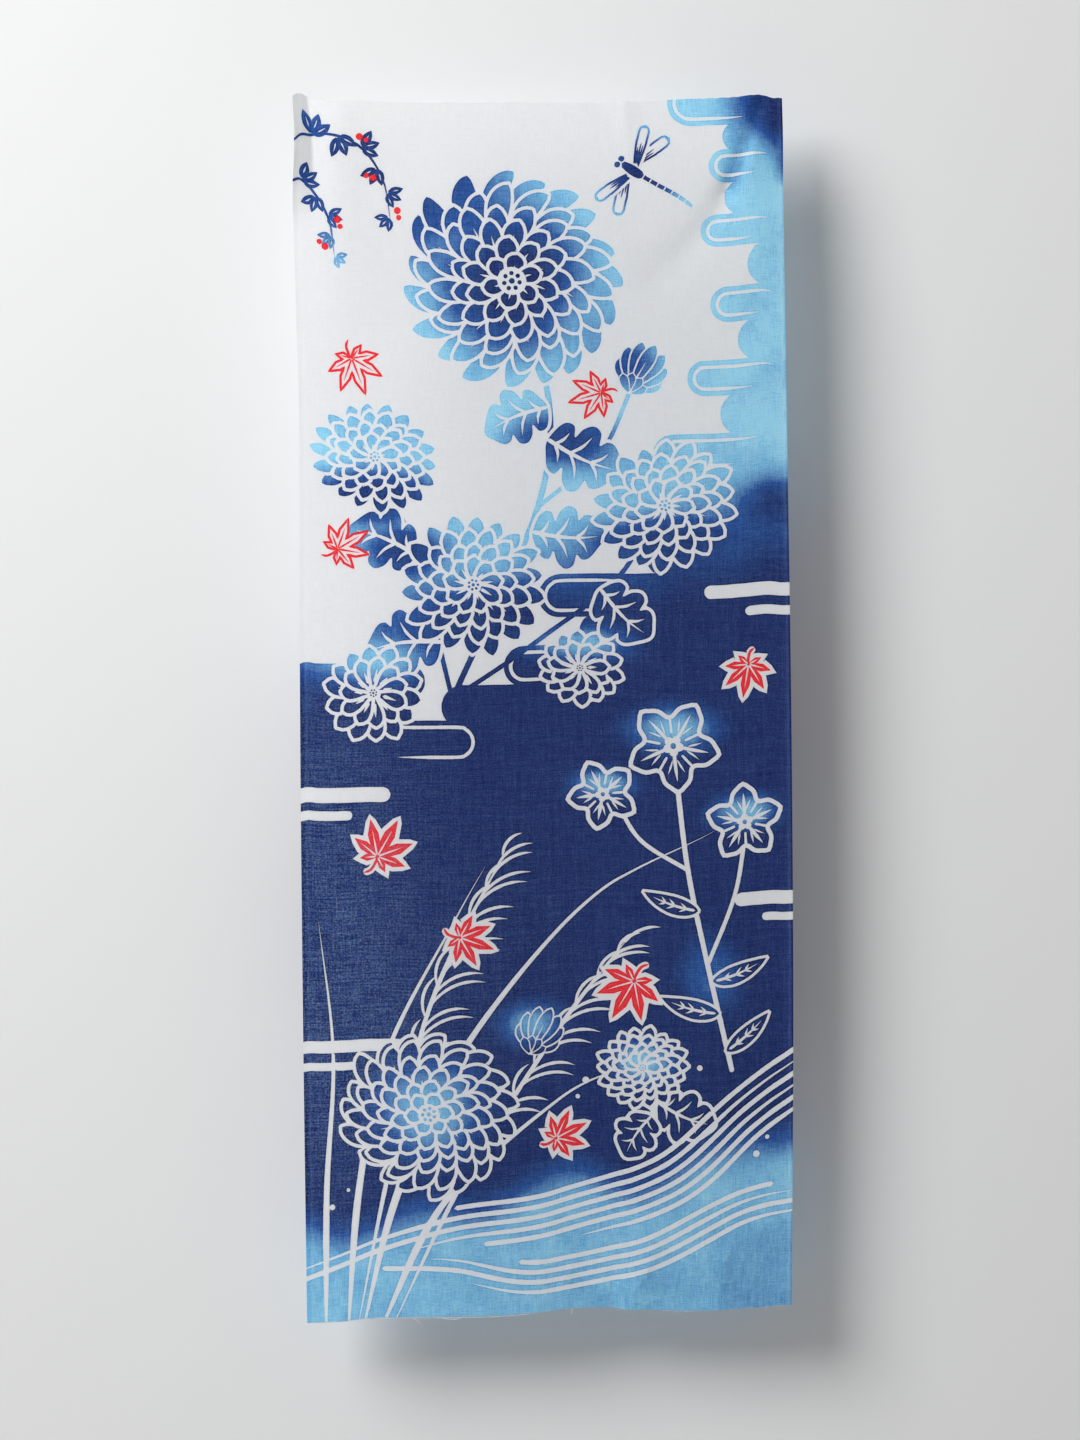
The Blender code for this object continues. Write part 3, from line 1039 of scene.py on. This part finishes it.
def buildFrayed():
    curve = bpy.data.curves.new("frayedEnds", "CURVE")
    curve.dimensions = "3D"
    curve.bevel_depth = frayed["radius"] * mm
    curve.bevel_resolution = 0
    curve.use_fill_caps = True
    forward = Vector((0, cloth["thickness"] / 2 * mm, 0))
    for path in frayedPaths():
        across, down = np.array(path).T
        spline = curve.splines.new("POLY")
        spline.points.add(len(path) - 1)
        for point, place in zip(spline.points, hang(across, down)):
            point.co = (*(Vector(place) + forward), 1)
    source = placedObject("frayedCurve", curve)
    mesh = bpy.data.meshes.new_from_object(source)
    bpy.data.objects.remove(source)
    bpy.data.curves.remove(curve)
    mesh.shade_smooth()
    return mesh


finish = {
    "white": (0.990, 0.994, 1.0),
    "undyed": (0.936, 0.937, 0.939),
    "blues": (                # depth of the dye, and the share of the cotton's colour it lets through
        (0.00, (0.550, 0.880, 1.000)),
        (0.14, (0.350, 0.690, 0.895)),
        (0.50, (0.062, 0.195, 0.540)),
        (0.94, (0.0415, 0.0780, 0.281)),
    ),
    "red": (0.985, 0.084, 0.106),
    "gapBlue": (0.22, 0.47, 0.86),         # painted light that comes through the gaps between threads
    "gapTan": (0.62, 0.66, 0.62),
    "roughness": 0.92,
    "gloss": 0.12,
    "threadPitch": 0.45,      # millimetres from thread to thread
    "grain": 0.42,            # unevenness of the dye from thread to thread
    "slub": 0.31,             # unevenness along thick and thin threads
    "band": 0.26,             # broad faint bars of the weave
    "mottle": 0.24,           # unevenness of the dye from one crumple to the next
    "patch": 0.14,            # brushed dye that took unevenly
    "depthGrain": 0.14,       # the same from thread to thread, seen where the dye is pale
    "backlightStrength": 0.16,         # how much painted light of the wall shows through where the cloth is sheerest
    "openGrain": 7.4,         # how much that changes from gap to gap
    "relief": 0.0006,         # metres that the crumpled weave stands up
    "paintedThreadShade": -0.05,     # painted shade: darker where a thread is thick, on white and dyed cloth alike
    "letThrough": 0.60,       # share of the light that goes on through one face of the cotton
    "pooling": 0.70,          # darker dye along a stencilled edge
    "poolReach": 1.1,         # millimetres that it reaches
}

# Unevenness of a plain weave: waves to a metre across and down, detail, roughness
weave = {
    "grain": ((1050, 1050), 1.0),
    "tint": ((760, 820), 0.0),
    "weft": ((120, 1250), 1.0),            # thick and thin threads across
    "warp": ((1250, 90), 1.0),             # and down
    "weftBand": ((14, 300), 2.0),
    "warpBand": ((300, 9), 2.0),
    "crepe": ((290, 190), 3.0, 0.66),
    "crinkle": ((300, 46), 2.0, 0.6),
    "openness": ((640, 700), 1.0),
    "weftGap": ((46, 880), 1.0),
    "warpGap": ((880, 52), 1.0),
}

# Dye along the selvages: millimetres from the rim, and how much more or less dye is there
selvageDye = {
    "reach": 8.0,
    "left": ((0.0, 0.34), (2.6, 0.20), (3.6, -0.04), (4.6, -0.20), (5.6, -0.04), (7.0, 0.0)),
    "right": ((0.0, 0.24), (0.9, 0.08), (1.7, -0.20), (3.0, -0.20), (4.2, -0.06), (7.6, 0.0)),
}


def newNode(tree, kind, inputs=(), **settings):
    # inputs are numbers, colours or other nodes' outputs, by socket name or number, or simply in order
    node = tree.nodes.new(kind)
    for name, value in settings.items():
        setattr(node, name, value)
    for key, value in (inputs.items() if isinstance(inputs, dict) else enumerate(inputs)):
        socket = node.inputs[key]
        if isinstance(value, bpy.types.NodeSocket):
            tree.links.new(value, socket)
        else:
            socket.default_value = (*value, 1) if socket.type == "RGBA" else value
    return node


def mathNode(tree, operation, *values, clamp=False):
    return newNode(tree, "ShaderNodeMath", values, operation=operation, use_clamp=clamp).outputs[0]


def mixNode(tree, factor, a, b, blend="MIX"):
    sockets = {0: factor, 6: a, 7: b}
    return newNode(tree, "ShaderNodeMix", sockets, data_type="RGBA", blend_type=blend).outputs[2]


def rampNode(tree, factor, rows):
    node = newNode(tree, "ShaderNodeValToRGB", [factor])
    stops = node.color_ramp.elements
    stops.remove(stops[1])
    for k, (position, colour) in enumerate(rows):
        stop = stops.new(position) if k else stops[0]
        stop.position, stop.color = position, (*colour, 1)
    return node.outputs["Color"]


def newGroup(name, inputs, outputs):
    # each socket's name and kind
    group = bpy.data.node_groups.new(name, "ShaderNodeTree")
    for side, sockets in (("INPUT", inputs), ("OUTPUT", outputs)):
        for socket, kind in sockets.items():
            group.interface.new_socket(socket, in_out=side, socket_type="NodeSocket" + kind)
    return group, newNode(group, "NodeGroupInput").outputs


def finishGroup(group, results):
    newNode(group, "NodeGroupOutput", results)
    arrange(group)
    return group


def arrange(tree):
    # columns of nodes, each node left of all that it feeds
    column = {node.name: 0 for node in tree.nodes}
    for _ in tree.nodes:
        for link in tree.links:
            source, target = link.from_node.name, link.to_node.name
            column[source] = max(column[source], column[target] + 1)
    rows = {}
    for node in tree.nodes:
        place = column[node.name]
        rows[place] = rows.get(place, 0) + 1
        node.location = (-220 * place, -200 * rows[place])


def stretchedNoise(tree, place, scale, detail=1.0, roughness=0.5):
    stretched = newNode(tree, "ShaderNodeMapping", {"Vector": place, "Scale": (*scale, 1)}).outputs[0]
    sockets = {"Vector": stretched, "Scale": 1.0, "Detail": detail, "Roughness": roughness}
    noise = newNode(tree, "ShaderNodeTexNoise", sockets)
    return mathNode(tree, "SUBTRACT", noise.outputs["Fac"], 0.5)


def selvageGroup():
    group, enter = newGroup("selvageDye", {"Place": "Vector"}, {"Density": "Float"})
    calc, reach = partial(mathNode, group), selvageDye["reach"]
    fromLeft = newNode(group, "ShaderNodeSeparateXYZ", [enter["Place"]]).outputs["X"]
    total = 0.0
    for side in ("left", "right"):
        inward = fromLeft if side == "left" else calc("SUBTRACT", cloth["width"] * mm, fromLeft)
        share = calc("DIVIDE", inward, reach * mm, clamp=True)
        rows = [(far / reach, [0.5 + change] * 3) for far, change in selvageDye[side]]
        total = calc("ADD", total, calc("SUBTRACT", rampNode(group, share, rows), 0.5))
    return finishGroup(group, {"Density": total})


def weaveGroup():
    # a plain weave's uneven threads, from a place on the flat cloth in metres
    kinds = dict.fromkeys(("Grain", "Slub", "Band", "Tint", "Relief", "Crepe", "Gap"), "Float")
    group, enter = newGroup("plainWeave", {"Place": "Vector", "Pitch": "Float"}, kinds)
    calc, place = partial(mathNode, group), enter["Place"]
    uneven = {name: stretchedNoise(group, place, *row) for name, row in weave.items()}
    turn = calc("DIVIDE", 2 * math.pi, enter["Pitch"])
    sides = newNode(group, "ShaderNodeSeparateXYZ", [place]).outputs
    across, downwards = (calc("SINE", calc("MULTIPLY", sides[axis], turn)) for axis in "XY")
    slub = calc("ADD", uneven["weft"], uneven["warp"])
    gap = calc("MULTIPLY_ADD", uneven["weftGap"], 0.78, uneven["openness"])
    return finishGroup(group, {
        "Grain": uneven["grain"],
        "Slub": slub,
        "Band": calc("ADD", uneven["weftBand"], uneven["warpBand"]),
        "Tint": uneven["tint"],
        "Relief": calc("MULTIPLY_ADD", calc("MULTIPLY", across, downwards), 0.08, slub),
        "Crepe": calc("MULTIPLY_ADD", uneven["crinkle"], 0.7, uneven["crepe"]),
        "Gap": calc("MULTIPLY_ADD", uneven["warpGap"], 0.50, gap),
    })


def dyeGroup():
    # colour of the dyed cotton: the white cloth seen through its dye, which lies denser or thinner
    inputs = {"Place": "Vector", "Dye": "Float", "Depth": "Float", "Density": "Float"}
    group, enter = newGroup("brushedDye", inputs, {"Color": "Color"})
    calc, mix = partial(mathNode, group), partial(mixNode, group)
    patch = stretchedNoise(group, enter["Place"], (26, 30), 3.0, 0.6)
    depth = calc("MULTIPLY_ADD", patch, finish["patch"] * 2, enter["Depth"], clamp=True)
    isDyed, isRed = (calc("GREATER_THAN", enter["Dye"], least) for least in (0.5, 1.5))
    through = mix(isDyed, finish["undyed"], rampNode(group, depth, finish["blues"]))
    through = mix(isRed, through, finish["red"])
    denser = newNode(group, "ShaderNodeGamma", {"Color": through, "Gamma": enter["Density"]})
    return finishGroup(group, {"Color": mix(1.0, denser.outputs["Color"], finish["white"], "MULTIPLY")})


def mattMaterial(name, roughness, gloss):
    material = bpy.data.materials.new(name)
    material.use_nodes = True
    shader = material.node_tree.nodes["Principled BSDF"]
    shader.inputs["Roughness"].default_value = roughness
    shader.inputs["Specular IOR Level"].default_value = gloss
    return material, material.node_tree, shader


def finishMaterial(tree, shader, colour, factor=0.0, other=None):
    # gives the shader its colour, and mixes another shader in before the surface
    tree.links.new(colour, shader.inputs["Base Color"])
    if other:
        both = newNode(tree, "ShaderNodeMixShader", (factor, shader.outputs[0], other.outputs[0]))
        tree.links.new(both.outputs[0], tree.nodes["Material Output"].inputs["Surface"])
    arrange(tree)


def cottonMaterial():
    material, tree, shader = mattMaterial("dyedCotton", finish["roughness"], finish["gloss"])
    calc, mix = partial(mathNode, tree), partial(mixNode, tree)

    def attribute(name, output="Fac"):
        return newNode(tree, "ShaderNodeAttribute", attribute_name=name).outputs[output]

    def placeGroup(group, **sockets):
        return newNode(tree, "ShaderNodeGroup", {"Place": place, **sockets}, node_tree=group).outputs

    place = newNode(tree, "ShaderNodeUVMap", uv_map="clothPlace").outputs["UV"]
    thread = placeGroup(weaveGroup(), Pitch=2 * finish["threadPitch"] * mm)
    threads = calc("ADD", thread["Grain"], thread["Slub"])
    dye = attribute("dye")
    isDyed = calc("GREATER_THAN", dye, 0.5)

    # the dye: uneven with the threads, pooled along the stencilled edges, and its own way at the selvages
    density = 1.0
    for output, amount in (("Grain", "grain"), ("Slub", "slub"), ("Band", "band"), ("Crepe", "mottle")):
        density = calc("MULTIPLY_ADD", thread[output], finish[amount], density)
    x, y, z = newNode(tree, "ShaderNodeSeparateXYZ", [attribute("edgeReach", "Vector")]).outputs
    fromEdge = calc("DIVIDE", calc("MINIMUM", calc("MINIMUM", x, y), z), finish["poolReach"])
    pooled = calc("MULTIPLY", calc("SUBTRACT", 1.0, fromEdge, clamp=True), isDyed)
    density = calc("MULTIPLY_ADD", pooled, finish["pooling"], density)
    density = calc("ADD", density, placeGroup(selvageGroup())["Density"])
    depth = calc("MULTIPLY_ADD", threads, finish["depthGrain"], attribute("dyeDepth"))
    dyed = placeGroup(dyeGroup(), Dye=dye, Depth=depth, Density=density)["Color"]

    # painted light: the wall seen through the open weave, mixed into the dyed colour
    gaps = calc("MAXIMUM", calc("MULTIPLY_ADD", thread["Gap"], finish["openGrain"], 1.0), 0.0)
    paintedWallLight = calc("MULTIPLY", calc("MULTIPLY", gaps, attribute("backlitShare")), finish["backlightStrength"], clamp=True)
    warm = calc("MULTIPLY_ADD", thread["Tint"], 4.0, 0.30, clamp=True)
    light = mix(warm, finish["gapBlue"], finish["gapTan"])
    colour = mix(calc("MULTIPLY", paintedWallLight, isDyed), dyed, light)
    # painted shade from thread to thread, over the whole cloth
    shade = calc("MULTIPLY_ADD", threads, finish["paintedThreadShade"], 1.0)
    colour = mix(1.0, colour, shade, "MULTIPLY")

    crumpled = calc("MULTIPLY", thread["Crepe"], attribute("crumple"))
    height = calc("MULTIPLY_ADD", thread["Relief"], 0.12, crumpled)
    relief = {"Strength": 1.0, "Distance": finish["relief"], "Height": height}
    tree.links.new(newNode(tree, "ShaderNodeBump", relief).outputs["Normal"], shader.inputs["Normal"])
    glow = newNode(tree, "ShaderNodeBsdfTranslucent", {"Color": colour})
    finishMaterial(tree, shader, colour, finish["letThrough"], glow)
    return material


def threadMaterial():
    material, tree, shader = mattMaterial("looseCotton", 0.9, 0.15)
    place = newNode(tree, "ShaderNodeTexCoord").outputs["Object"]
    dyed = stretchedNoise(tree, place, (240, 240))
    amount = mathNode(tree, "MULTIPLY_ADD", dyed, 2.0, 0.3, clamp=True)
    finishMaterial(tree, shader, mixNode(tree, amount, *frayed["tones"]))
    return material


room = {
    "wallGap": 68.0,          # millimetres from the hanging plane to the wall
    "wallTone": (0.770, 0.772, 0.770),
    "floorTone": (0.60, 0.60, 0.60),
    "reach": 4.0,
    "floorDrop": 2.0,
    "cameraDistance": 2.8,
    "viewHeight": 1.0649,     # metres of the hanging plane from the bottom of the view to its top
    "viewCentre": (0.0015, -0.4565),
    "lookAt": (0.0, 0.0, -0.45),
    "sky": 0.30,
    "skyTone": (1.0, 0.985, 0.960),
}
# Each soft lamp: place, radius, watts, colour
lamps = {
    "keyLamp": ((-1.85, -2.12, 1.30), 0.95, 109, (0.985, 0.992, 1.0)),
    "rearFill": ((0.13, 0.55, -0.56), 0.30, 0.80, (1.0, 1.0, 1.0)),
}


def paint(name, tone, clearFromBehind=False):
    material, tree, shader = mattMaterial(name, 0.95, 0.1)
    place = newNode(tree, "ShaderNodeTexCoord").outputs["Object"]
    gain = mathNode(tree, "MULTIPLY_ADD", stretchedNoise(tree, place, (3, 3), 2.0), 0.03, 1.0)
    behind = clear = None
    if clearFromBehind:
        behind = newNode(tree, "ShaderNodeNewGeometry").outputs["Backfacing"]
        clear = newNode(tree, "ShaderNodeBsdfTransparent")
    finishMaterial(tree, shader, mixNode(tree, 1.0, tone, gain, "MULTIPLY"), behind, clear)
    return material


def placedObject(name, data):
    thing = bpy.data.objects.new(name, data)
    bpy.context.scene.collection.objects.link(thing)
    return thing


def buildSurface(name, centre, turn, material):
    surface = bmesh.new()
    matrix = Matrix.Translation(centre) @ Matrix.Rotation(turn, 4, "X")
    bmesh.ops.create_grid(surface, x_segments=1, y_segments=1, size=room["reach"], matrix=matrix)
    mesh = bpy.data.meshes.new(name)
    surface.to_mesh(mesh)
    surface.free()
    mesh.materials.append(material)
    placedObject(name, mesh)


def buildRoom():
    gap, reach, floor = room["wallGap"] * mm, room["reach"], -room["floorDrop"]
    buildSurface("wall", (0, gap, floor + reach), math.pi / 2, paint("wallPaint", room["wallTone"], True))
    buildSurface("floor", (0, gap - reach, floor), 0, paint("floorPaint", room["floorTone"]))


def buildLights():
    for name, (place, radius, watts, colour) in lamps.items():
        lamp = bpy.data.lights.new(name, "AREA")
        lamp.shape, lamp.size = "DISK", 2 * radius
        lamp.energy, lamp.color = watts, colour
        thing = placedObject(name, lamp)
        thing.location = place
        thing.rotation_euler = (Vector(room["lookAt"]) - Vector(place)).to_track_quat("-Z", "Y").to_euler()
    world = bpy.data.worlds.new("studio")
    world.use_nodes = True
    background = world.node_tree.nodes["Background"]
    background.inputs["Color"].default_value = (*room["skyTone"], 1)
    background.inputs["Strength"].default_value = room["sky"]
    bpy.context.scene.world = world


def lightOnly(lamp, pieces):
    # the lamp shines on these pieces alone, and the wall does not stand in its way
    lit = bpy.data.collections.new("litFromBehind")
    for piece in pieces:
        lit.objects.link(piece)
    lamp.light_linking.receiver_collection = lit
    lamp.light_linking.blocker_collection = lit


def buildCamera():
    data = bpy.data.cameras.new("camera")
    data.sensor_width = 36.0
    data.lens = data.sensor_width * room["cameraDistance"] / room["viewHeight"]
    camera = placedObject("camera", data)
    across, height = room["viewCentre"]
    camera.location = (across, -room["cameraDistance"], height)
    camera.rotation_euler = (math.pi / 2, 0, 0)
    bpy.context.scene.camera = camera
    bpy.context.scene.view_settings.view_transform = "Standard"


print("camera, lights and room")
buildCamera()
buildLights()
buildRoom()

print("dyed cotton")
towel = placedObject("tenugui_cotton", giveThickness(buildCloth()))
towel.data.materials.append(cottonMaterial())
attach(towel, "root")
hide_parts("tenugui_cloth")
print("loose threads")
threads = placedObject("frayed_ends", buildFrayed())
threads.data.materials.append(threadMaterial())
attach(threads, "root")
lightOnly(bpy.data.objects["rearFill"], [towel, threads])
